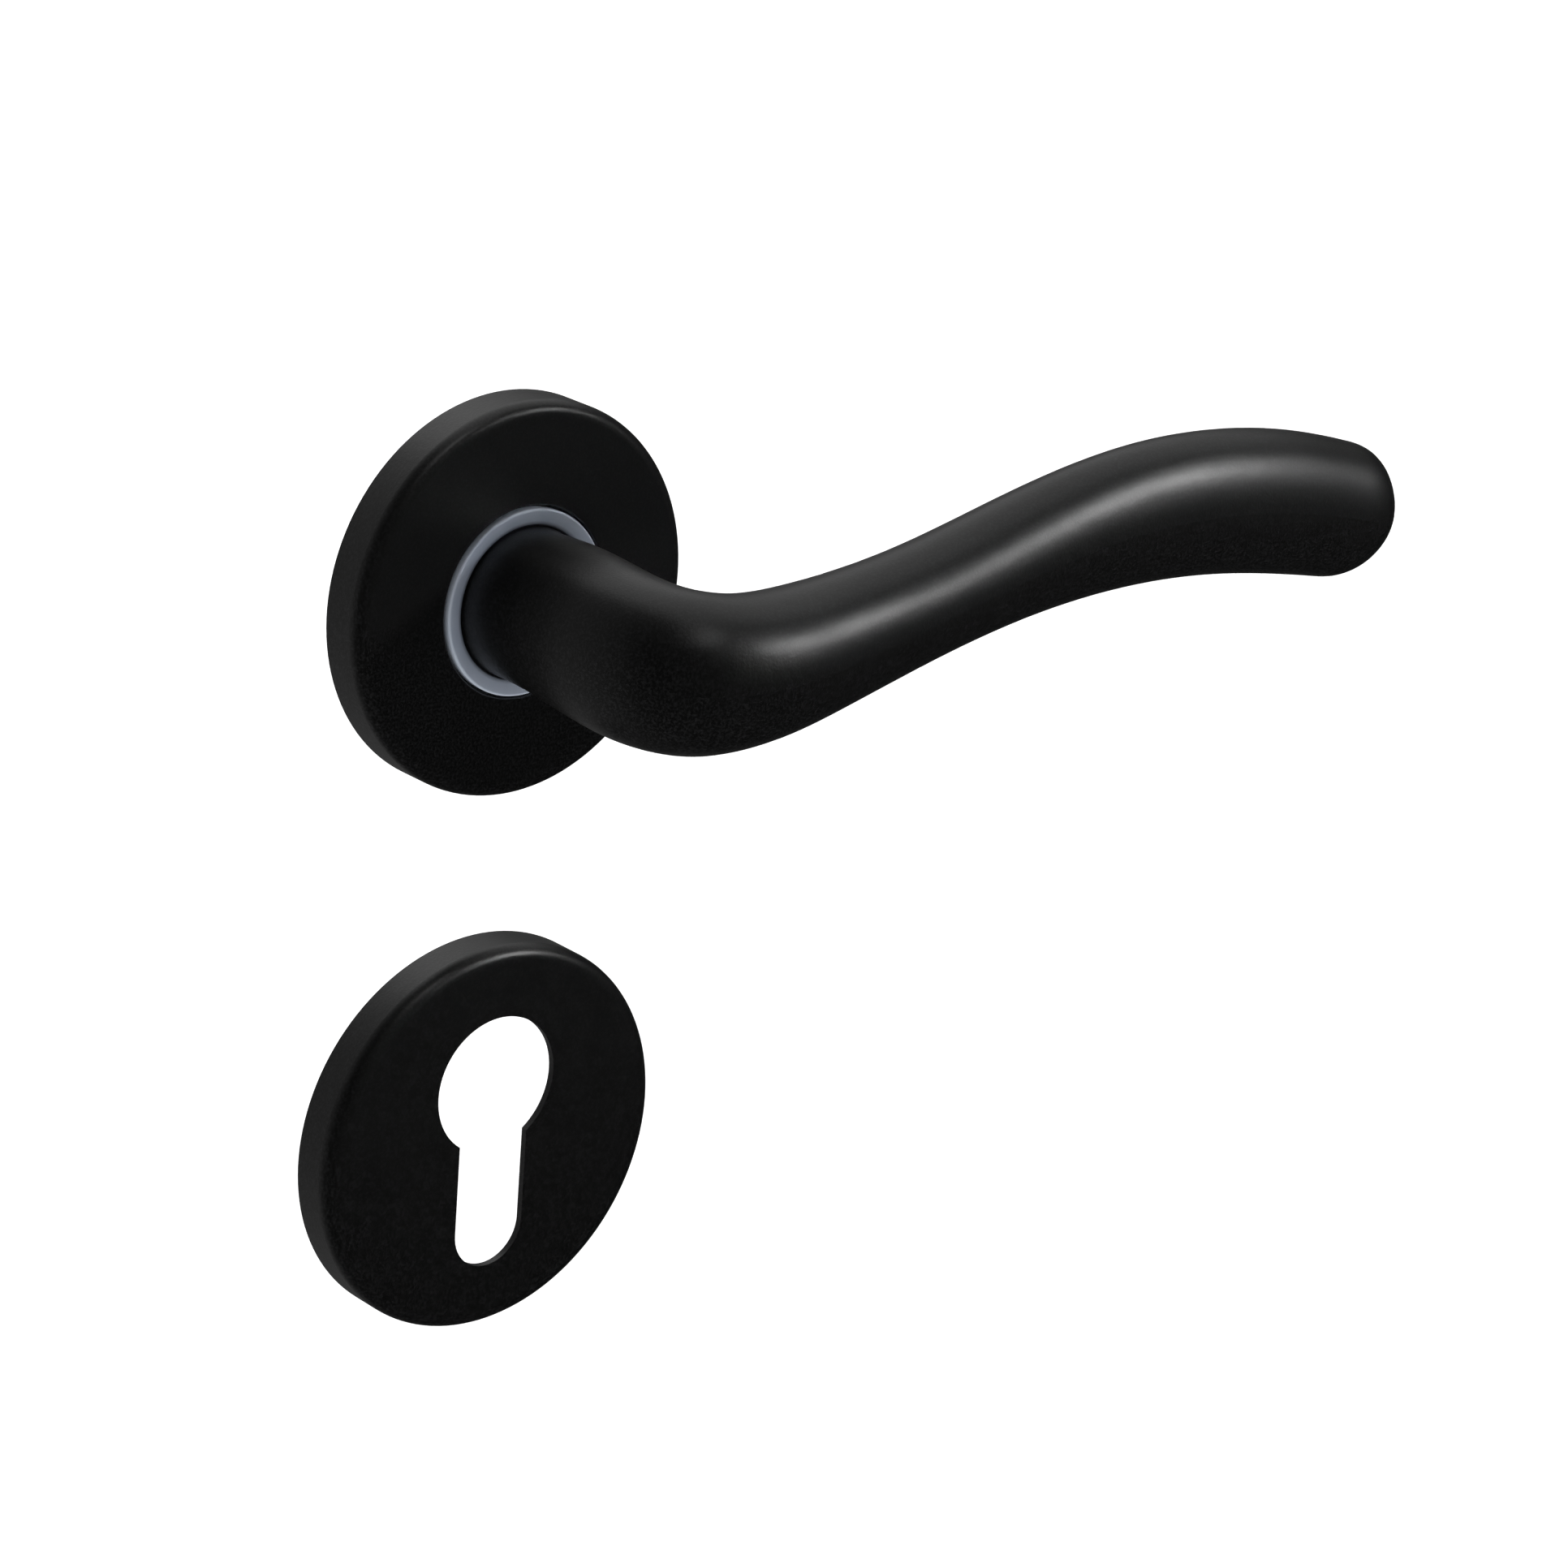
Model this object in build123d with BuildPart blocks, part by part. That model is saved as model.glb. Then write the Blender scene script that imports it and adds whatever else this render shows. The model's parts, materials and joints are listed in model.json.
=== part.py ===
"""Lever handle on a round rose, with a separate cylinder escutcheon, for one face of a door.

Millimetres. The origin is on the spindle axis at the door face. +X is the way the lever points,
-Y is out of the door and +Z is up. A height here is a distance out of the door face, along -Y.
"""
import os
from math import cos, radians, sin, sqrt

from build123d import *

os.makedirs("parts", exist_ok=True)

# ---- rose and escutcheon covers -------------------------------------------------------------
COVER_R = 27.5             # rose cover
ESC_R = 28.3               # escutcheon cover
COVER_WALL = 1.0
ROSE_H = 7.0
ROSE_EDGE_R = 1.8          # rounded front edge
ESC_H = 6.8
ESC_EDGE_R = 2.0
ESC_Z = -78.3              # escutcheon centre below the spindle
NECK_HOLE_R = 13.4         # hole in the rose cover round the bearing ring

# ---- Euro-profile cylinder hole ---------------------------------------------------------------
CYL_UP = 8.3               # centre of the round part above the escutcheon centre
CYL_ROUND_R = 10.0
CYL_SLOT_W = 11.6
CYL_BOTTOM = -19.1         # lowest point of the slot, from the escutcheon centre

# ---- rose base plate --------------------------------------------------------------------------
BASE_R = 26.1
BASE_H = 5.7
CAVITY_R = 14.6            # spring cavity, open at the back
CAVITY_H = 4.5
BOSS_R = 10.0              # boss round the bearing sleeve
BOSS_END = 2.4
SLEEVE_R = 8.9
STOP_IN_R = 13.0           # stop blocks reach in from the cavity wall
LID_R = 16.4               # spring retaining plate
LID_HOLE_R = 10.4
LID_T = 0.5
RIVET_CIRCLE_R = 15.5      # three rivets hold the retaining plate
RIVET_R = 0.7
RIVET_START = 50.0         # degrees
RIVET_LEN = 2.6

# ---- bearing and lever journal ----------------------------------------------------------------
RING_R = 13.0
RING_TOP = 7.5             # the ring stands half a millimetre proud of the cover
POCKET_R = 10.8            # the neck sits in this pocket
POCKET_FLOOR = 6.5
DISH = 0.45                # the ring's face slopes in by this much towards the neck
JOURNAL_R = 8.0
RUN_GAP = 0.05
JOURNAL_END = -1.2
SHOULDER_H = 6.8
FLAT_HALF = 7.0            # double-D flats on the journal
CLIP_GROOVE_R = 7.4

# ---- return driver, circlip and spring --------------------------------------------------------
DRIVER_R = 12.6
DRIVER_LUG_R = 14.2
DRIVER_BACK, DRIVER_FRONT = 0.8, 1.8
LUG_MID = 202.5            # stop lug at rest, degrees round the axis from +X towards +Z
LUG_HALF = 15.0
TURN = 45.0                # the lever turns this far down
STOP_GAP = 1.5             # degrees left at each stop
STOP_SPAN = 20.0
WASHER_R = 9.7
WASHER_T = 0.3
CIRCLIP_R = 9.4
CIRCLIP_T = 1.0
SPRING_R = 11.9
WIRE_R = 0.55
SPRING_LOW, SPRING_HIGH = 2.5, 3.85
SPRING_START = -90.0       # the leg in the driver
SPRING_TURN = 432.0

# ---- spindle and grub screw -------------------------------------------------------------------
SPINDLE = 8.0
SOCKET = 8.1
SPINDLE_IN = 29.0
SPINDLE_OUT = 24.0         # beyond the door face, into the lock
SOCKET_DEPTH = 30.0
GRUB_R = 2.5
GRUB_LEN = 6.0
GRUB_H = 18.0

# ---- lever ------------------------------------------------------------------------------------
NECK_R = 10.5
GRIP_OUT = 39.0            # grip centreline out from the door
ELBOW_R = 10.5             # centreline radius of the elbow
TIP_LEN = 7.4              # the tip closes over this length, on an elliptical curve
TIP_CLOSE = (7.0, 4.2)     # taken off the half height and the half depth at the very end
TIP_STEPS = (0.3, 0.55, 0.75, 0.9, 0.98, 1.0)
# sections: place, rise of the centreline, half height, half depth
NECK_STATIONS = [(14, 0, 10.6, 10.5), (21, -0.4, 10.9, 10.4)]           # place: height
ELBOW_STATIONS = [(0, -1.0, 11.1, 10.1), (30, -1.5, 11.1, 9.8), (60, -1.9, 10.9, 9.3),
                  (90, -1.9, 10.4, 8.8)]                                 # place: degrees turned
GRIP_STATIONS = [(24, -0.6, 9.3, 8.0), (42, 3.0, 8.2, 7.4), (62, 7.3, 8.9, 7.1), (83, 9.7, 10.1, 7.0),
                 (103, 8.7, 10.5, 7.0), (121, 5.2, 10.1, 6.8), (124.3, 4.3, 9.8, 6.75)]  # place: X
TIP_END = (131.7, 1.8, 8.5, 6.5)    # the section that the rounding closes

# ---- fixings ----------------------------------------------------------------------------------
SCREW_CENTRES = 38.0
LUG_R = 3.9
LUG_LEN = 7.0
LUG_BORE_R = 2.1
LUG_SEAT = 1.0             # each lug stands this deep in the base plate
LUG_SEAT_R = 4.75          # with a gap round it
LUG_FOOT_R = 3.4
LUG_FOOT = 0.4
SCREW_R = 2.0
HEAD_R = 3.5
HEAD_H = 2.0
ROSE_SCREW_LEN = 15.0
SEAT_H = 3.2               # the rose screws' heads sit on this level
HEAD_POCKET_R = 3.8
WOOD_SCREW_R = 1.6         # escutcheon: countersunk wood screws
WOOD_HEAD_R = 3.1
WOOD_SCREW_LEN = 10.0
WOOD_SPOTS = ((18.5, -7.0), (-18.5, -7.0))   # from the escutcheon centre
WOOD_TOP_H = 4.8
SNAP_R = 25.7              # centreline of the rose's snap ring
SNAP_WIRE_R = 0.5
SNAP_H = 2.8
SNAP_GAP = 14.0            # degrees

# ---- escutcheon base plate --------------------------------------------------------------------
ESC_BASE_R = ESC_R - COVER_R + BASE_R
ESC_SNAP_R = ESC_R - COVER_R + SNAP_R
ESC_BASE_H = 5.2
WINDOW_GROW = 6.6          # the window follows the cylinder hole at this distance
WINDOW_R = 24.4            # but stays inside this circle


def out(h, z=0.0):
    """Plane parallel to the door at height h, centred z above the spindle."""
    return Plane(origin=(0, -h, z), x_dir=(1, 0, 0), z_dir=(0, -1, 0))


def radial(z=0.0):
    """Half-section plane: x is the radius and y runs into the door."""
    return Plane(origin=(0, 0, z), x_dir=(1, 0, 0), z_dir=(0, 0, 1))


def y_axis(z=0.0):
    return Axis((0, 0, z), (0, 1, 0))


def polar(r, angle):
    return (r * cos(radians(angle)), r * sin(radians(angle)))


def save(part, name):
    part.label = name
    export_step(part, f"parts/{name}.step")


def sector(r_in, r_out, mid, half):
    """Filled piece of a ring, drawn in the open sketch."""
    with BuildLine() as outline:
        a = CenterArc((0, 0), r_in, mid - half, 2 * half)
        b = CenterArc((0, 0), r_out, mid - half, 2 * half)
        Line(a @ 0, b @ 0)
        Line(a @ 1, b @ 1)
    make_face(outline.edges())


def keyhole(grow=0.0):
    """Euro-profile outline about the escutcheon centre, drawn in the open sketch."""
    w = CYL_SLOT_W / 2 + grow
    with Locations((0, CYL_UP)):
        Circle(CYL_ROUND_R + grow)
    with Locations((0, (CYL_UP + CYL_BOTTOM + w - grow) / 2)):
        Rectangle(2 * w, CYL_UP - CYL_BOTTOM - w + grow)
    with Locations((0, CYL_BOTTOM + w - grow)):
        Circle(w)


# ---- rose base plate: die-cast disc with the spring cavity behind ------------------------------
with BuildPart() as rose_base:
    with BuildSketch(radial()):
        with BuildLine():
            Polyline(
                (SLEEVE_R, -BOSS_END), (SLEEVE_R, -BASE_H), (BASE_R, -BASE_H), (BASE_R, 0),
                (LID_R, 0), (LID_R, -LID_T), (CAVITY_R, -LID_T), (CAVITY_R, -CAVITY_H),
                (BOSS_R, -CAVITY_H), (BOSS_R, -BOSS_END), close=True,
            )
        make_face()
    revolve(axis=y_axis())
    front_edge = rose_base.edges().filter_by(GeomType.CIRCLE).sort_by(SortBy.RADIUS)[-4:]
    chamfer(front_edge.sort_by(Axis.Y)[0], 0.6)
    # blocks that stop the driver's lug at rest and at full turn
    reach = LUG_HALF + STOP_GAP + STOP_SPAN / 2
    with BuildSketch(out(LID_T)):
        sector(STOP_IN_R, CAVITY_R + 0.2, LUG_MID + reach, STOP_SPAN / 2)
        sector(STOP_IN_R, CAVITY_R + 0.2, LUG_MID - TURN - reach, STOP_SPAN / 2)
    extrude(amount=CAVITY_H - LID_T)
    # slot for the spring's fixed leg
    with BuildSketch(out(LID_T)):
        with PolarLocations(CAVITY_R + 0.4, 1, start_angle=SPRING_START + SPRING_TURN - 360):
            Rectangle(2.8, 2 * WIRE_R + 0.6)
    extrude(amount=CAVITY_H - LID_T, mode=Mode.SUBTRACT)
    # blind holes for the retaining plate's rivets
    with BuildSketch(out(LID_T)):
        with PolarLocations(RIVET_CIRCLE_R, 3, start_angle=RIVET_START):
            Circle(RIVET_R)
    extrude(amount=RIVET_LEN - LID_T, mode=Mode.SUBTRACT)
    # screw holes and head pockets
    with BuildSketch(out(0)):
        with GridLocations(0, SCREW_CENTRES, 1, 2):
            Circle(LUG_BORE_R)
    extrude(amount=BASE_H, mode=Mode.SUBTRACT)
    with BuildSketch(out(SEAT_H)):
        with GridLocations(0, SCREW_CENTRES, 1, 2):
            Circle(HEAD_POCKET_R)
    extrude(amount=BASE_H - SEAT_H, mode=Mode.SUBTRACT)
    # seats for the lugs
    with BuildSketch(out(0)):
        with GridLocations(0, SCREW_CENTRES, 1, 2):
            Circle(LUG_SEAT_R)
    extrude(amount=LUG_SEAT, mode=Mode.SUBTRACT)
    # lightening pockets at the back, between the screw bosses
    with BuildSketch(out(0)):
        for mid in (0, 180):
            sector(18.6, 22.6, mid, 46)
    extrude(amount=3.6, mode=Mode.SUBTRACT)
    # groove for the snap ring
    with BuildSketch(radial()):
        with Locations((BASE_R, -SNAP_H)):
            Rectangle(2 * (BASE_R - SNAP_R + SNAP_WIRE_R), 2 * SNAP_WIRE_R + 0.2)
    revolve(axis=y_axis(), mode=Mode.SUBTRACT)
save(rose_base.part, "rose_base_plate")

# ---- bearing: flanged nylon bush, whose flange is the ring round the neck ----------------------
with BuildPart() as bush:
    with BuildSketch(radial()):
        with BuildLine():
            Polyline(
                (JOURNAL_R + RUN_GAP, -BOSS_END), (JOURNAL_R + RUN_GAP, -POCKET_FLOOR),
                (POCKET_R, -POCKET_FLOOR), (POCKET_R, DISH - RING_TOP), (RING_R, -RING_TOP),
                (RING_R, -BASE_H), (SLEEVE_R, -BASE_H), (SLEEVE_R, -BOSS_END), close=True,
            )
        make_face()
    revolve(axis=y_axis())
    fillet(bush.edges().filter_by(GeomType.CIRCLE).sort_by(Axis.Y)[0], 0.3)
save(bush.part, "guide_bush")

# ---- spring retaining plate and its three rivets -------------------------------------------------
with BuildPart() as lid:
    with BuildSketch(out(0)):
        Circle(LID_R)
        Circle(LID_HOLE_R, mode=Mode.SUBTRACT)
        with GridLocations(0, SCREW_CENTRES, 1, 2):
            Circle(LUG_SEAT_R, mode=Mode.SUBTRACT)
        with PolarLocations(RIVET_CIRCLE_R, 3, start_angle=RIVET_START):
            Circle(RIVET_R, mode=Mode.SUBTRACT)
    extrude(amount=LID_T)
save(lid.part, "spring_retaining_plate")

with BuildPart() as rivets:
    with BuildSketch(out(0)):
        with PolarLocations(RIVET_CIRCLE_R, 3, start_angle=RIVET_START):
            Circle(RIVET_R)
    extrude(amount=RIVET_LEN)
save(rivets.part, "retaining_plate_rivets")

# ---- return spring: coil round the boss, one leg in the driver and one in the base plate -------
with BuildPart() as spring:
    with BuildLine() as coil:
        Helix(
            pitch=(SPRING_HIGH - SPRING_LOW) * 360 / SPRING_TURN,
            height=SPRING_HIGH - SPRING_LOW, radius=SPRING_R,
            center=(0, -SPRING_LOW, 0), direction=(0, -1, 0),
        )
    free_end, fixed_end = coil.line @ 0, coil.line @ 1
    with BuildSketch(Plane(origin=free_end, z_dir=coil.line % 0)):
        Circle(WIRE_R)
    sweep(path=coil.line, is_frenet=True)
    with BuildSketch(Plane(origin=free_end, z_dir=(0, 1, 0))):
        Circle(WIRE_R)
    extrude(amount=SPRING_LOW - DRIVER_BACK - 0.3)
    with BuildSketch(Plane(origin=fixed_end, z_dir=(fixed_end.X, 0, fixed_end.Z))):
        Circle(WIRE_R)
    extrude(amount=CAVITY_R + 1.2 - SPRING_R)
    with Locations(free_end, fixed_end):
        Sphere(WIRE_R)
save(spring.part, "return_spring")

# ---- return driver: double-D disc with the stop lug and the notch for the spring ----------------
with BuildPart() as driver:
    with BuildSketch(out(DRIVER_BACK)):
        Circle(DRIVER_R)
        sector(JOURNAL_R + 2, DRIVER_LUG_R, LUG_MID, LUG_HALF)
    extrude(amount=DRIVER_FRONT - DRIVER_BACK)
    with BuildSketch(out(DRIVER_BACK)):
        Circle(JOURNAL_R + RUN_GAP)
        Rectangle(2 * (FLAT_HALF + RUN_GAP), 2 * JOURNAL_R + 1, mode=Mode.INTERSECT)
    extrude(amount=DRIVER_FRONT - DRIVER_BACK, mode=Mode.SUBTRACT)
    with BuildSketch(out(DRIVER_BACK)):
        with PolarLocations(DRIVER_R + 0.2, 1, start_angle=SPRING_START):
            Rectangle(3.4, 2 * WIRE_R + 0.6)
    extrude(amount=DRIVER_FRONT - DRIVER_BACK, mode=Mode.SUBTRACT)
save(driver.part, "return_driver")

# ---- thrust washer between the driver and the boss -------------------------------------------------
with BuildPart() as washer:
    with BuildSketch(out(DRIVER_FRONT)):
        Circle(WASHER_R)
        Circle(JOURNAL_R + RUN_GAP, mode=Mode.SUBTRACT)
    extrude(amount=WASHER_T)
save(washer.part, "thrust_washer")

# ---- circlip on the journal ----------------------------------------------------------------------
with BuildPart() as circlip:
    with BuildSketch(out(DRIVER_BACK - CIRCLIP_T)):
        Circle(CIRCLIP_R - 0.6)
        with Locations((0, 0.8)):
            Circle(CIRCLIP_R - 0.8)
        for side in (-1, 1):
            with Locations(polar(CIRCLIP_R - 0.6, -90 + side * 24)):
                Circle(1.2)
        Circle(CLIP_GROOVE_R, mode=Mode.SUBTRACT)
        with Locations((0, -CIRCLIP_R)):
            Rectangle(5.4, 6, mode=Mode.SUBTRACT)
        for side in (-1, 1):
            with Locations(polar(CIRCLIP_R - 0.6, -90 + side * 24)):
                Circle(0.6, mode=Mode.SUBTRACT)
    extrude(amount=CIRCLIP_T)
save(circlip.part, "neck_circlip")

# ---- square spindle and the grub screw that locks the lever to it ----------------------------------
with BuildPart() as spindle:
    with BuildSketch(out(-SPINDLE_OUT)):
        Rectangle(SPINDLE, SPINDLE)
    extrude(amount=SPINDLE_OUT + SPINDLE_IN)
    chamfer(spindle.faces().sort_by(Axis.Y)[-1].edges(), 0.8)
save(spindle.part, "square_spindle")

with BuildPart() as grub:
    under = Plane(origin=(0, -GRUB_H, -SPINDLE / 2 - GRUB_LEN), x_dir=(1, 0, 0), z_dir=(0, 0, 1))
    with BuildSketch(under):
        Circle(GRUB_R - RUN_GAP)
    extrude(amount=GRUB_LEN)
    chamfer(grub.faces().sort_by(Axis.Z)[-1].edges(), 0.5)
    with BuildSketch(under):
        RegularPolygon(GRUB_R / 2, 6, major_radius=False)
    extrude(amount=GRUB_R, mode=Mode.SUBTRACT)
save(grub.part, "neck_grub_screw")

# ---- lever handle: neck, elbow and wave-shaped grip ------------------------------------------------
elbow_h = GRIP_OUT - ELBOW_R
stations = [(0, -SHOULDER_H, 0, NECK_R, NECK_R)]
stations += [(0, -h, z, w, t) for h, z, w, t in NECK_STATIONS]
for turn, z, w, t in ELBOW_STATIONS:
    x = ELBOW_R * (1 - cos(radians(turn)))
    y = -elbow_h - ELBOW_R * sin(radians(turn))
    stations.append((x, y, z, w, t))
stations += [(x, -GRIP_OUT, z, w, t) for x, z, w, t in GRIP_STATIONS]
for step in TIP_STEPS:
    x, z, w, t = (a + step * (b - a) for a, b in zip(GRIP_STATIONS[-1], TIP_END))
    closed = 1 - sqrt(1 - step * step)
    stations.append((x, -GRIP_OUT, z, w - TIP_CLOSE[0] * closed, t - TIP_CLOSE[1] * closed))

with BuildLine():
    spine = Spline([s[:3] for s in stations], tangents=[(0, -1, 0), (1, 0, -0.34)])
with BuildPart() as lever:
    for x, y, z, w, t in stations:
        along = spine.tangent_at((x, y, z))
        across = along.cross(Vector(0, 0, 1))
        with BuildSketch(Plane(origin=(x, y, z), x_dir=across, z_dir=along)):
            Ellipse(t, w)
    loft()
    # journal behind the shoulder, with the circlip groove
    with BuildSketch(radial()):
        with BuildLine():
            Polyline(
                (0, -SHOULDER_H - 0.01), (JOURNAL_R, -SHOULDER_H - 0.01), (JOURNAL_R, -DRIVER_BACK),
                (CLIP_GROOVE_R, -DRIVER_BACK), (CLIP_GROOVE_R, CIRCLIP_T - DRIVER_BACK),
                (JOURNAL_R, CIRCLIP_T - DRIVER_BACK), (JOURNAL_R, -JOURNAL_END), (0, -JOURNAL_END),
                close=True,
            )
        make_face()
    revolve(axis=y_axis())
    # flats that carry the driver
    with BuildSketch(out(JOURNAL_END)):
        for side in (-1, 1):
            with Locations((side * (FLAT_HALF + JOURNAL_R), 0)):
                Rectangle(2 * JOURNAL_R, 4 * JOURNAL_R)
    extrude(amount=DRIVER_FRONT - JOURNAL_END, mode=Mode.SUBTRACT)
    # square socket for the spindle and threaded hole for the grub screw
    with BuildSketch(out(JOURNAL_END)):
        Rectangle(SOCKET, SOCKET)
    extrude(amount=SOCKET_DEPTH - JOURNAL_END, mode=Mode.SUBTRACT)
    with BuildSketch(Plane(origin=(0, -GRUB_H, 0), x_dir=(1, 0, 0), z_dir=(0, 0, -1))):
        Circle(GRUB_R)
    extrude(amount=2 * NECK_R, mode=Mode.SUBTRACT)
save(lever.part, "lever_handle")

# ---- covers: pressed cups --------------------------------------------------------------------------
with BuildPart() as rose_cover:
    with BuildSketch(radial()):
        with BuildLine():
            Polyline(
                (COVER_R, 0), (COVER_R, -ROSE_H), (NECK_HOLE_R, -ROSE_H),
                (NECK_HOLE_R, COVER_WALL - ROSE_H), (COVER_R - COVER_WALL, COVER_WALL - ROSE_H),
                (COVER_R - COVER_WALL, 0), close=True,
            )
        make_face()
    revolve(axis=y_axis())
    rings = rose_cover.edges().filter_by(GeomType.CIRCLE).group_by(Axis.Y)
    fillet(rings[0].sort_by(SortBy.RADIUS)[-1], ROSE_EDGE_R)
    rings = rose_cover.edges().filter_by(GeomType.CIRCLE).group_by(Axis.Y)
    fillet(rings[0].sort_by(SortBy.RADIUS)[0], 0.3)
    inside = rose_cover.edges().filter_by_position(Axis.Y, -6.01, -5.99).sort_by(SortBy.RADIUS)
    fillet(inside[-1], ROSE_EDGE_R - COVER_WALL)
save(rose_cover.part, "rose_cover")

with BuildPart() as esc_cover:
    with BuildSketch(radial(ESC_Z)):
        with BuildLine():
            Polyline(
                (ESC_R, 0), (ESC_R, -ESC_H), (0, -ESC_H), (0, COVER_WALL - ESC_H),
                (ESC_R - COVER_WALL, COVER_WALL - ESC_H), (ESC_R - COVER_WALL, 0), close=True,
            )
        make_face()
    revolve(axis=y_axis(ESC_Z))
    outer = esc_cover.edges().filter_by(GeomType.CIRCLE).group_by(Axis.Y)
    fillet(outer[0], ESC_EDGE_R)
    inside = esc_cover.edges().filter_by_position(Axis.Y, COVER_WALL - ESC_H - 0.01, COVER_WALL - ESC_H + 0.01)
    fillet(inside.sort_by(SortBy.RADIUS)[-1], ESC_EDGE_R - COVER_WALL)
    with BuildSketch(out(0, ESC_Z)):
        keyhole()
    extrude(amount=ESC_H, mode=Mode.SUBTRACT)
save(esc_cover.part, "escutcheon_cover")

# ---- escutcheon base plate ---------------------------------------------------------------------------
with BuildPart() as esc_base:
    with BuildSketch(out(0, ESC_Z)):
        Circle(ESC_BASE_R)
    extrude(amount=ESC_BASE_H)
    chamfer(esc_base.faces().sort_by(Axis.Y)[0].edges(), 0.6)
    with BuildSketch(out(0, ESC_Z)):
        keyhole(WINDOW_GROW)
        Circle(WINDOW_R, mode=Mode.INTERSECT)
    extrude(amount=ESC_BASE_H, mode=Mode.SUBTRACT)
    with Locations(out(WOOD_TOP_H, ESC_Z)):
        with Locations(*WOOD_SPOTS):
            CounterSinkHole(WOOD_SCREW_R, WOOD_HEAD_R, depth=WOOD_TOP_H, counter_sink_angle=90)
    with BuildSketch(out(WOOD_TOP_H, ESC_Z)):
        with Locations(*WOOD_SPOTS):
            Circle(WOOD_HEAD_R)
    extrude(amount=ESC_BASE_H - WOOD_TOP_H, mode=Mode.SUBTRACT)
    with BuildSketch(radial(ESC_Z)):
        with Locations((ESC_BASE_R, -SNAP_H)):
            Rectangle(2 * (ESC_BASE_R - ESC_SNAP_R + SNAP_WIRE_R), 2 * SNAP_WIRE_R + 0.2)
    revolve(axis=y_axis(ESC_Z), mode=Mode.SUBTRACT)
save(esc_base.part, "escutcheon_base_plate")

# ---- snap rings that hold the covers -------------------------------------------------------------------
for side, z, r in (("rose", 0.0, SNAP_R), ("escutcheon", ESC_Z, ESC_SNAP_R)):
    with BuildPart() as snap:
        with BuildSketch(radial(z)):
            with Locations((r, -SNAP_H)):
                Circle(SNAP_WIRE_R)
        revolve(axis=y_axis(z), revolution_arc=360 - SNAP_GAP)
    save(snap.part, f"{side}_snap_ring")

# ---- rose lugs: hollow pins that sit in the door ---------------------------------------------------------
for place, z in (("upper", SCREW_CENTRES / 2), ("lower", -SCREW_CENTRES / 2)):
    with BuildPart() as lug:
        with BuildSketch(out(LUG_SEAT, z)):
            Circle(LUG_FOOT_R)
        extrude(amount=-LUG_FOOT)
        with BuildSketch(out(LUG_SEAT - LUG_FOOT, z)):
            Circle(LUG_R)
        extrude(amount=LUG_FOOT - LUG_SEAT - LUG_LEN)
        with BuildSketch(out(LUG_SEAT, z)):
            Circle(LUG_BORE_R)
        extrude(amount=-LUG_SEAT - LUG_LEN, mode=Mode.SUBTRACT)
        far = lug.edges().filter_by(GeomType.CIRCLE).group_by(Axis.Y)[-1].sort_by(SortBy.RADIUS)
        chamfer(far[-1], 0.6)
    save(lug.part, f"rose_lug_{place}")

# ---- rose screws: pan heads with a cross slot ---------------------------------------------------------------
with BuildPart() as screws:
    with BuildSketch(out(SEAT_H - ROSE_SCREW_LEN)):
        with GridLocations(0, SCREW_CENTRES, 1, 2):
            Circle(SCREW_R)
    extrude(amount=ROSE_SCREW_LEN)
    chamfer(screws.faces().group_by(Axis.Y)[-1].edges(), 1.0)
    with BuildSketch(out(SEAT_H)):
        with GridLocations(0, SCREW_CENTRES, 1, 2):
            Circle(HEAD_R)
    extrude(amount=HEAD_H)
    fillet(screws.faces().group_by(Axis.Y)[0].edges(), 0.7)
    with BuildSketch(out(SEAT_H + HEAD_H - 1.1)):
        with GridLocations(0, SCREW_CENTRES, 1, 2):
            Rectangle(3.6, 0.8)
            Rectangle(0.8, 3.6)
    extrude(amount=1.2, mode=Mode.SUBTRACT)
save(screws.part, "rose_screws")

# ---- escutcheon screws: countersunk wood screws -----------------------------------------------------------------
shank_r = WOOD_SCREW_R - 0.1
head_r = WOOD_HEAD_R - 0.1
with BuildPart() as wood_screw:
    with BuildSketch(Plane.XY):
        with BuildLine():
            Polyline(
                (0, 0), (head_r, 0), (shank_r, head_r - shank_r),
                (shank_r, WOOD_SCREW_LEN - 2.5), (0, WOOD_SCREW_LEN), close=True,
            )
        make_face()
    revolve(axis=Axis.Y)
    with BuildSketch(out(0)):
        Rectangle(3.2, 0.7)
        Rectangle(0.7, 3.2)
    extrude(amount=-0.9, mode=Mode.SUBTRACT)
placed = [Location((x, -WOOD_TOP_H, ESC_Z + z)) * wood_screw.part for x, z in WOOD_SPOTS]
save(Compound(children=placed), "escutcheon_screws")
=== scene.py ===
"""Looks for a matte black lever handle on a round rose and its round cylinder escutcheon."""
import json
from math import cos, pi, radians, sin

import bmesh
import bpy
from mathutils import Matrix, Vector


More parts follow.
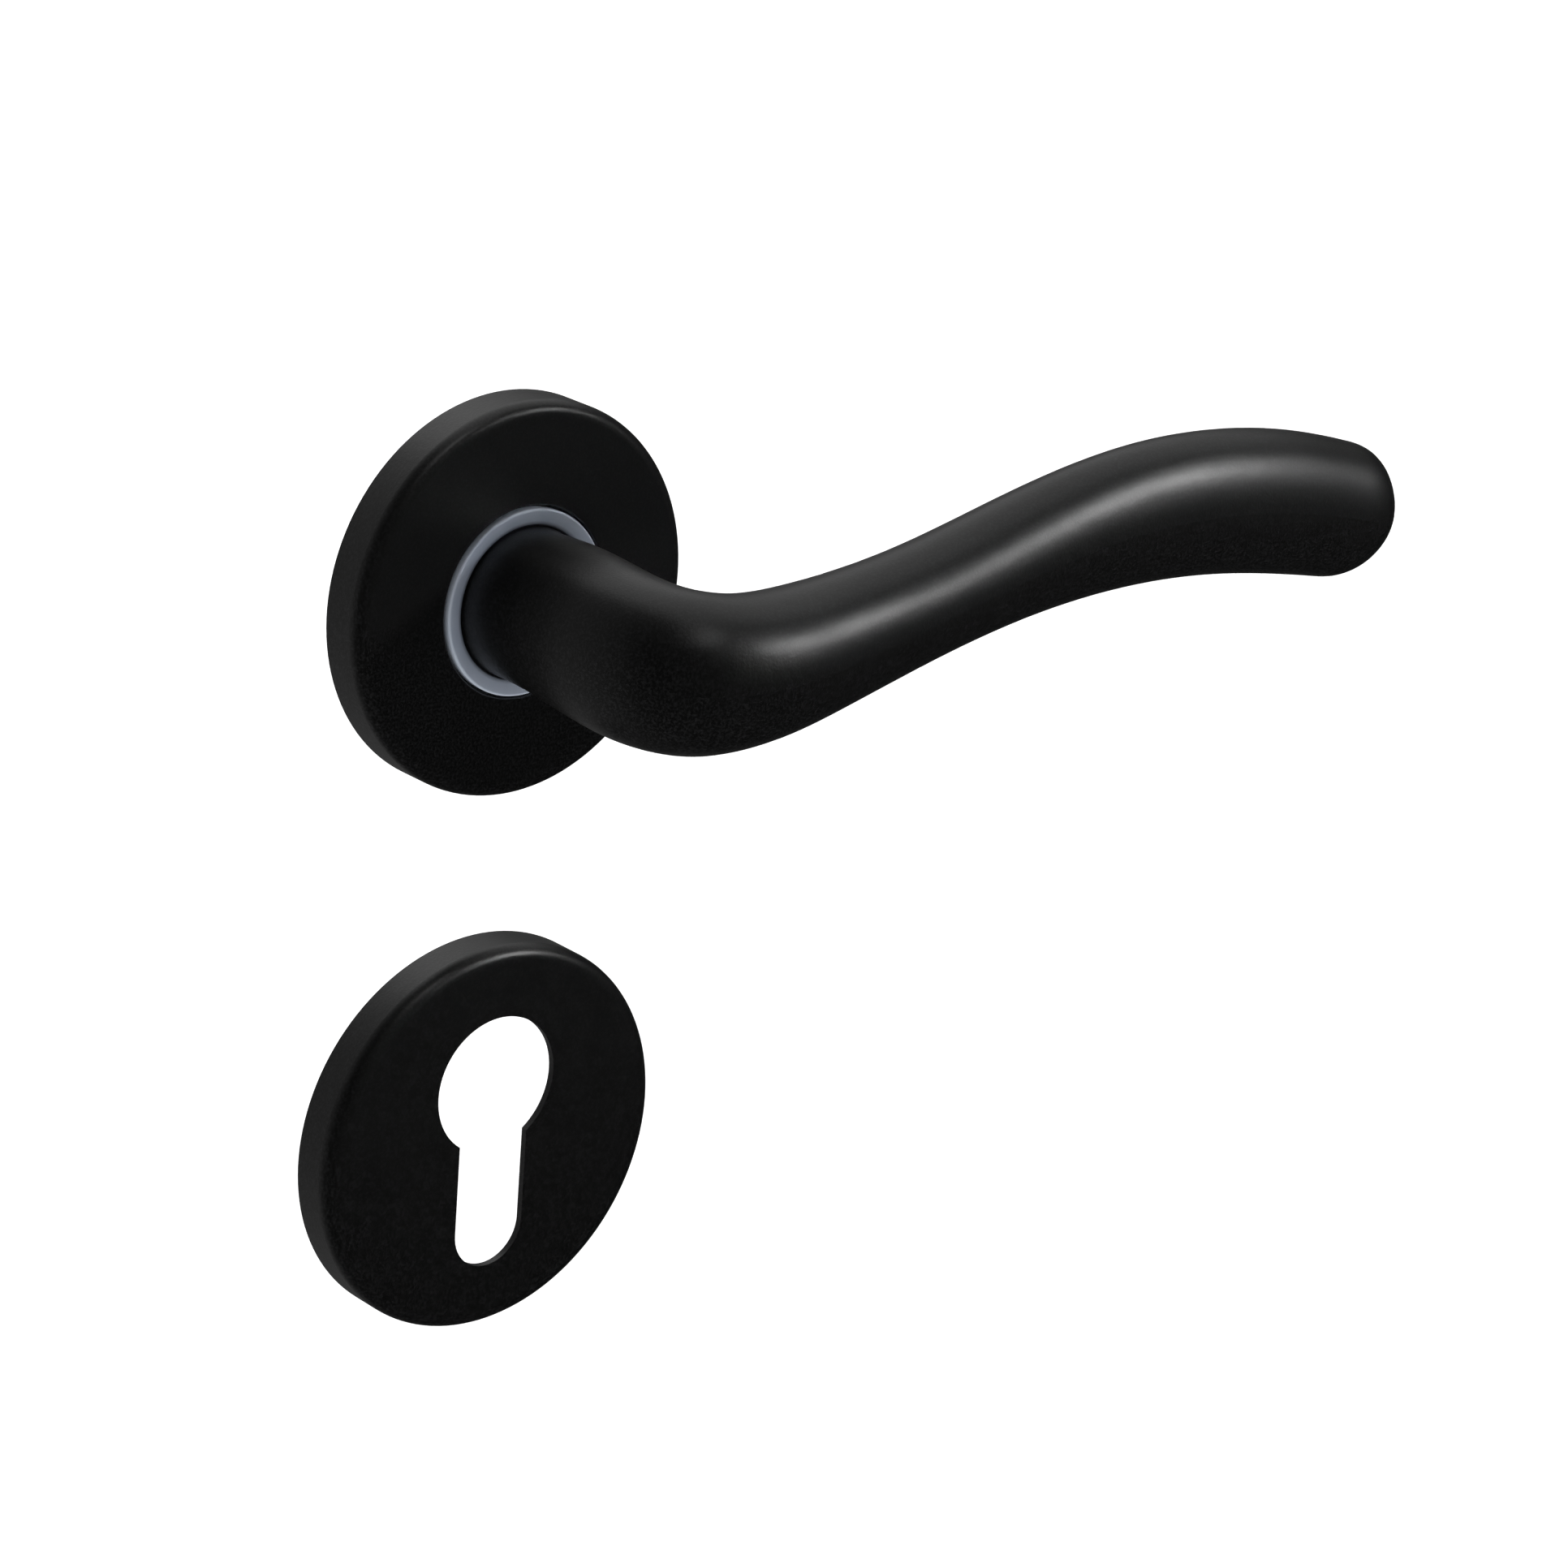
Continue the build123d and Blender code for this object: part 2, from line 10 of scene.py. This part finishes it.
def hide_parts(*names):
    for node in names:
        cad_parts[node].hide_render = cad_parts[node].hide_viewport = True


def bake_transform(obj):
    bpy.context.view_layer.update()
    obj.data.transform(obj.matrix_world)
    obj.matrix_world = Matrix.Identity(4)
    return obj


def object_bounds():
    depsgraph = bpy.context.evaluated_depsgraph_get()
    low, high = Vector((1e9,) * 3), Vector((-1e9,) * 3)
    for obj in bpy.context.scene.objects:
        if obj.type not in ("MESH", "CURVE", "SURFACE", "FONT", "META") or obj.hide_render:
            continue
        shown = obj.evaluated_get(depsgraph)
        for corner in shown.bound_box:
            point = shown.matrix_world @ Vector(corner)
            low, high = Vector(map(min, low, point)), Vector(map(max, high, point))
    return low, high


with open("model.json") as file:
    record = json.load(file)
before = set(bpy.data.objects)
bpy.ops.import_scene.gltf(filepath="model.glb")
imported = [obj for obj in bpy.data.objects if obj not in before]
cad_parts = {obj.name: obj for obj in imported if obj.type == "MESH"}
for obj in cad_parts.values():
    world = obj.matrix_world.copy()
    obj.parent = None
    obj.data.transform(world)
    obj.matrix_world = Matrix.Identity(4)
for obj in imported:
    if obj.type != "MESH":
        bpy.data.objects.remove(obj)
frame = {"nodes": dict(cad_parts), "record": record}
cad_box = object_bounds()
nodes = frame["nodes"]

MM = 0.001
MIX_FROM, MIX_TO, MIX_OUT = 6, 7, 2    # the colour sockets of a Mix node


# ---- colours and nodes ------------------------------------------------------------------------
def srgb(hex_code):
    """An sRGB hex value as a linear colour with full alpha."""
    channels = []
    for i in (1, 3, 5):
        c = int(hex_code[i:i + 2], 16) / 255
        channels.append(c / 12.92 if c <= 0.04045 else ((c + 0.055) / 1.055) ** 2.4)
    return (*channels, 1.0)


def add(material, kind, settings, *links):
    """Adds a node. Settings are properties or socket values; each link is (output, input name)."""
    node = material.node_tree.nodes.new(kind)
    for name, value in settings.items():
        if name in node.inputs:
            node.inputs[name].default_value = value
        else:
            setattr(node, name, value)
    for output, name in links:
        material.node_tree.links.new(output, node.inputs[name])
    return node


def finish_material(name, values):
    """A new material with its shader's plain values, and its Object coordinates in metres."""
    material = bpy.data.materials.new(name)
    material.use_nodes = True
    for socket, value in values.items():
        material.node_tree.nodes["Principled BSDF"].inputs[socket].default_value = value
    return material, add(material, "ShaderNodeTexCoord", {}).outputs["Object"]


def noise(material, place, size_mm, **settings):
    """Noise with features about this many millimetres across, as a value from 0 to 1."""
    settings["Scale"] = 1 / (size_mm * MM)
    return add(material, "ShaderNodeTexNoise", settings, (place, "Vector")).outputs["Fac"]


def between(material, factor, from_hex, to_hex):
    """A colour that runs from one hex value to another with the factor."""
    mix = add(material, "ShaderNodeMix", {"data_type": "RGBA"}, (factor, "Factor"))
    mix.inputs[MIX_FROM].default_value = srgb(from_hex)
    mix.inputs[MIX_TO].default_value = srgb(to_hex)
    return mix.outputs[MIX_OUT]


def spread_out(material, factor, low, high):
    """The factor's 0 to 1, spread from low to high."""
    spread = add(material, "ShaderNodeMapRange", {"To Min": low, "To Max": high}, (factor, "Value"))
    return spread.outputs["Result"]


def bump(material, height, strength, distance_mm, *under):
    """A bump over another normal, if one is given."""
    settings = {"Strength": strength, "Distance": distance_mm * MM}
    links = [(height, "Height")] + [(normal, "Normal") for normal in under]
    return add(material, "ShaderNodeBump", settings, *links).outputs["Normal"]


def drive(material, **sockets):
    """Links outputs to the shader's sockets, whose names have _ for a space."""
    shader = material.node_tree.nodes["Principled BSDF"]
    for name, output in sockets.items():
        material.node_tree.links.new(output, shader.inputs[name.replace("_", " ")])


# ---- materials --------------------------------------------------------------------------------
# Polyester powder coat on metal, sprayed and baked: near black, with a fine grain that breaks up
# the highlights and small differences in sheen where the powder fell thicker.
coat, place = finish_material("powder_coat_black", {"Roughness": 0.38, "IOR": 1.5})
# the real grain is about 0.15 mm across; it is drawn at 0.35 mm, coarse enough to show
grain = noise(coat, place, 0.35, Detail=2.0)
peel = noise(coat, place, 2.4, Detail=1.0)
patch = noise(coat, place, 14, Detail=2.0)
fine = bump(coat, grain, 0.6, 0.03)
speck = add(coat, "ShaderNodeMapRange", {"From Min": 0.45, "From Max": 0.75}, (grain, "Value")).outputs["Result"]
drive(coat, Normal=bump(coat, peel, 0.25, 0.08, fine), Roughness=spread_out(coat, patch, 0.34, 0.43),
      Base_Color=between(coat, speck, "#0a0a0a", "#1e1e1f"))

# Polyamide 6, injection moulded: blue-grey, a soft dull sheen and a faint cloudy flow in the colour.
# The ring's colour carries painted light: a painted highlight along its outer edge, and painted shade beside the
# neck, where the neck shades it.
RING_INNER_R = 10.6
RING_OUTER_R = 13.0
# painted shade at the inner edge by the neck, a painted highlight at the outer edge
PAINTED_LIGHT_STOPS = ((0.0, "#2a2b2e"), (0.97, "#ffffff"), (0.3, "#c8cad0"), (0.88, "#dcdee2"))   # share of the ring's width

nylon, place = finish_material("nylon_moulded_grey", {"Roughness": 0.35, "IOR": 1.53})
flow = noise(nylon, place, 3.5, Detail=3.0)
pits = noise(nylon, place, 0.3, Detail=2.0)
flat = add(nylon, "ShaderNodeVectorMath", {"operation": "MULTIPLY"}, (place, 0))
flat.inputs[1].default_value = (1.0, 0.0, 1.0)
radius = add(nylon, "ShaderNodeVectorMath", {"operation": "LENGTH"}, (flat.outputs["Vector"], 0))
across = add(nylon, "ShaderNodeMapRange", {"From Min": RING_INNER_R * MM, "From Max": RING_OUTER_R * MM},
             (radius.outputs["Value"], "Value"))
# a ramp of painted shade and painted highlight across the ring's width
painted_light_ramp = add(nylon, "ShaderNodeValToRGB", {}, (across.outputs["Result"], "Fac"))
stops = painted_light_ramp.color_ramp.elements
for index, (position, hex_code) in enumerate(PAINTED_LIGHT_STOPS):
    stop = stops[index] if index < 2 else stops.new(position)    # a new ramp has two stops
    stop.color = srgb(hex_code)
    stop.position = position
# the nylon's colour multiplied by the painted shade and highlight
painted_light_colour = add(nylon, "ShaderNodeMix", {"data_type": "RGBA", "blend_type": "MULTIPLY"})
painted_light_colour.inputs["Factor"].default_value = 1.0
nylon.node_tree.links.new(between(nylon, flow, "#b9c3d2", "#d2dae6"), painted_light_colour.inputs[MIX_FROM])
nylon.node_tree.links.new(painted_light_ramp.outputs["Color"], painted_light_colour.inputs[MIX_TO])
drive(nylon, Base_Color=painted_light_colour.outputs[MIX_OUT], Normal=bump(nylon, pits, 0.2, 0.03))

# Zinc alloy, pressure die-cast and left raw: grey, with cold-flow clouds and a fine blasted skin.
zinc, place = finish_material("zinc_alloy_die_cast", {"Metallic": 1.0, "Roughness": 0.5})
cloud = noise(zinc, place, 6, Detail=4.0, Distortion=0.6)
skin = noise(zinc, place, 0.4, Detail=3.0)
drive(zinc, Base_Color=between(zinc, cloud, "#7f8183", "#a3a4a4"), Roughness=spread_out(zinc, cloud, 0.42, 0.6),
      Normal=bump(zinc, skin, 0.3, 0.05))

# Steel with a bright zinc plate: silvery, blotched a little warm and cool by the passivation, with
# fine drawing lines along the door's depth.
plated, place = finish_material("steel_zinc_plated", {"Metallic": 1.0, "Roughness": 0.3})
blotch = noise(plated, place, 4, Detail=2.0)
drawn = add(plated, "ShaderNodeMapping", {"Scale": (1.0, 0.04, 1.0)}, (place, "Vector")).outputs["Vector"]
scratch = noise(plated, drawn, 0.25, Detail=2.0)
drive(plated, Base_Color=between(plated, blotch, "#b4b8c2", "#c9c6ba"),
      Roughness=spread_out(plated, scratch, 0.22, 0.4))

# The same plate on the screws, with the thread's ridges on the shanks, which run along the door's depth.
THREAD_PITCH = 0.7
SHANK_FROM = -1.2          # heads are in front of this depth, shanks behind it

threaded = plated.copy()
threaded.name = "steel_zinc_plated_threaded"
place = add(threaded, "ShaderNodeTexCoord", {}).outputs["Object"]
ridge = add(threaded, "ShaderNodeTexWave", {"bands_direction": "Y", "Scale": 2 * pi / (20 * THREAD_PITCH * MM)},
            (place, "Vector"))
depth = add(threaded, "ShaderNodeSeparateXYZ", {}, (place, "Vector"))
shank = add(threaded, "ShaderNodeMath", {"operation": "GREATER_THAN"}, (depth.outputs["Y"], 0))
shank.inputs[1].default_value = SHANK_FROM * MM
height = add(threaded, "ShaderNodeMath", {"operation": "MULTIPLY"},
             (ridge.outputs["Fac"], 0), (shank.outputs["Value"], 1)).outputs["Value"]
drive(threaded, Normal=bump(threaded, height, 1.0, 0.2))

# Spring steel, drawn and oiled: dark and smooth, with a thin uneven film of oil.
spring_steel, place = finish_material("spring_steel_oiled", {"Metallic": 1.0, "Roughness": 0.3})
oil = noise(spring_steel, place, 1.5, Detail=3.0)
drive(spring_steel, Base_Color=between(spring_steel, oil, "#4a4947", "#6f6d6a"),
      Roughness=spread_out(spring_steel, oil, 0.2, 0.38))

# Alloy steel with a black oxide finish: a dark, faintly brown film over machined metal.
oxide, place = finish_material("steel_black_oxide", {"Metallic": 0.9, "Roughness": 0.42})
drive(oxide, Base_Color=between(oxide, noise(oxide, place, 0.8, Detail=3.0), "#1b1a1a", "#2d2a28"))

finishes = {
    "black_powder_coat": coat,
    "grey_nylon": nylon,
    "zinc_casting": zinc,
    "zinc_plated_steel": plated,
    "spring_steel": spring_steel,
    "black_oxide_steel": oxide,
}
for subpart in frame["record"]["subparts"]:
    part = nodes[subpart["node"]]
    part.data.materials.clear()
    part.data.materials.append(finishes[subpart["material_slot"]])
for name in ("rose_screws", "escutcheon_screws"):
    nodes[name].data.materials[0] = threaded

# ---- the return spring: a copy of its mesh, fixed in place, stands in for the hidden part -------
wire = bpy.data.objects.new("return_spring_wire", nodes["return_spring"].data.copy())
bpy.context.scene.collection.objects.link(wire)
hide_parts("return_spring")
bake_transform(wire)

# ---- floor and surround, in metres ---------------------------------------------------------------
FLOOR_HALF = 60.0          # far enough for a low camera to see no edge
FLOOR_DROP = 0.12          # below the object's lowest point

# White paper on a light table: an even, plain pale ground with faint fibres.
paper, place = finish_material("studio_paper_white", {"Roughness": 0.9, "Emission Strength": 0.86,
                                                      "Emission Color": srgb("#ffffff")})
drive(paper, Base_Color=between(paper, noise(paper, place, 1.2, Detail=3.0), "#efefee", "#fafafa"))

floor_mesh = bmesh.new()
bmesh.ops.create_grid(floor_mesh, x_segments=1, y_segments=1, size=FLOOR_HALF,
                      matrix=Matrix.Translation((0, 0, cad_box[0][2] - FLOOR_DROP)))
floor_data = bpy.data.meshes.new("floor")
floor_mesh.to_mesh(floor_data)
floor_mesh.free()
floor_data.materials.append(paper)
floor = bpy.data.objects.new("floor", floor_data)
bpy.context.scene.collection.objects.link(floor)
floor.visible_glossy = False    # the coating mirrors the dark surround, not the bright floor

# the surround is dark in front, like black flags, and pale behind the object and to its left
PALE_SIDE = (-0.35, 0.90, 0.0)

world = bpy.data.worlds.new("studio_surround")
bpy.context.scene.world = world
world.use_nodes = True
direction = add(world, "ShaderNodeTexCoord", {}).outputs["Generated"]
towards = add(world, "ShaderNodeVectorMath", {"operation": "DOT_PRODUCT"}, (direction, 0))
towards.inputs[1].default_value = PALE_SIDE
glow = add(world, "ShaderNodeMapRange", {"interpolation_type": "SMOOTHSTEP", "From Min": -0.1, "From Max": 0.95,
                                         "To Min": 0.0025, "To Max": 0.22}, (towards.outputs["Value"], "Value"))
background = world.node_tree.nodes["Background"]
background.inputs["Color"].default_value = srgb("#ffffff")
world.node_tree.links.new(glow.outputs["Result"], background.inputs["Strength"])
bpy.context.scene.view_settings.view_transform = "Standard"    # keeps the whites and the blacks apart


# ---- lights ----------------------------------------------------------------------------------------
def softbox(name, at, aim, width, height, power, spread=180):
    """A rectangular area light at a point, turned towards another point; metres, watts and degrees."""
    light = bpy.data.lights.new(name, "AREA")
    light.shape = "RECTANGLE"
    light.size, light.size_y = width, height
    light.energy = power
    light.spread = radians(spread)
    lamp = bpy.data.objects.new(name, light)
    lamp.location = at
    lamp.rotation_euler = (Vector(aim) - Vector(at)).to_track_quat("-Z", "Y").to_euler()
    bpy.context.scene.collection.objects.link(lamp)


# the floor behind the object is lit from over it, the grip from the right, the neck from above and
# the plates' backs from behind
softbox("over_the_floor", (1.0, 0.95, 1.25), (0.95, 0.95, -0.25), 2.8, 2.4, 16)
softbox("right_front", (0.415, -0.38, 0.225), (0.085, -0.03, 0), 0.17, 0.10, 0.026, spread=16)
softbox("upper_front", (0.0, -0.60, 0.78), (0, 0, -0.03), 0.2, 0.2, 0.7)
softbox("behind", (0.1, 1.1, 0.25), (0, 0, -0.03), 0.8, 0.8, 1.6)

# ---- camera ----------------------------------------------------------------------------------------
CAMERA_AT = Vector((-395.8, -495.9, 198.7)) * MM
AIM = radians(42.3)        # turned right of straight at the door
DIP = radians(19.43)       # looking down
ROLL = radians(4.38)
FOCAL = 113.35             # on a 36 mm wide sensor

forward = Vector((sin(AIM) * cos(DIP), cos(AIM) * cos(DIP), -sin(DIP)))
level = forward.cross(Vector((0, 0, 1))).normalized()
upright = level.cross(forward)
right = level * cos(ROLL) + upright * sin(ROLL)
up = upright * cos(ROLL) - level * sin(ROLL)

camera = bpy.data.cameras.new("camera")
camera.lens = FOCAL
camera.sensor_width = 36
camera.clip_start = 0.01
viewer = bpy.data.objects.new("camera", camera)
turn = Matrix((right, up, -forward)).transposed().to_4x4()
viewer.matrix_world = Matrix.Translation(CAMERA_AT) @ turn
bpy.context.scene.collection.objects.link(viewer)
bpy.context.scene.camera = viewer
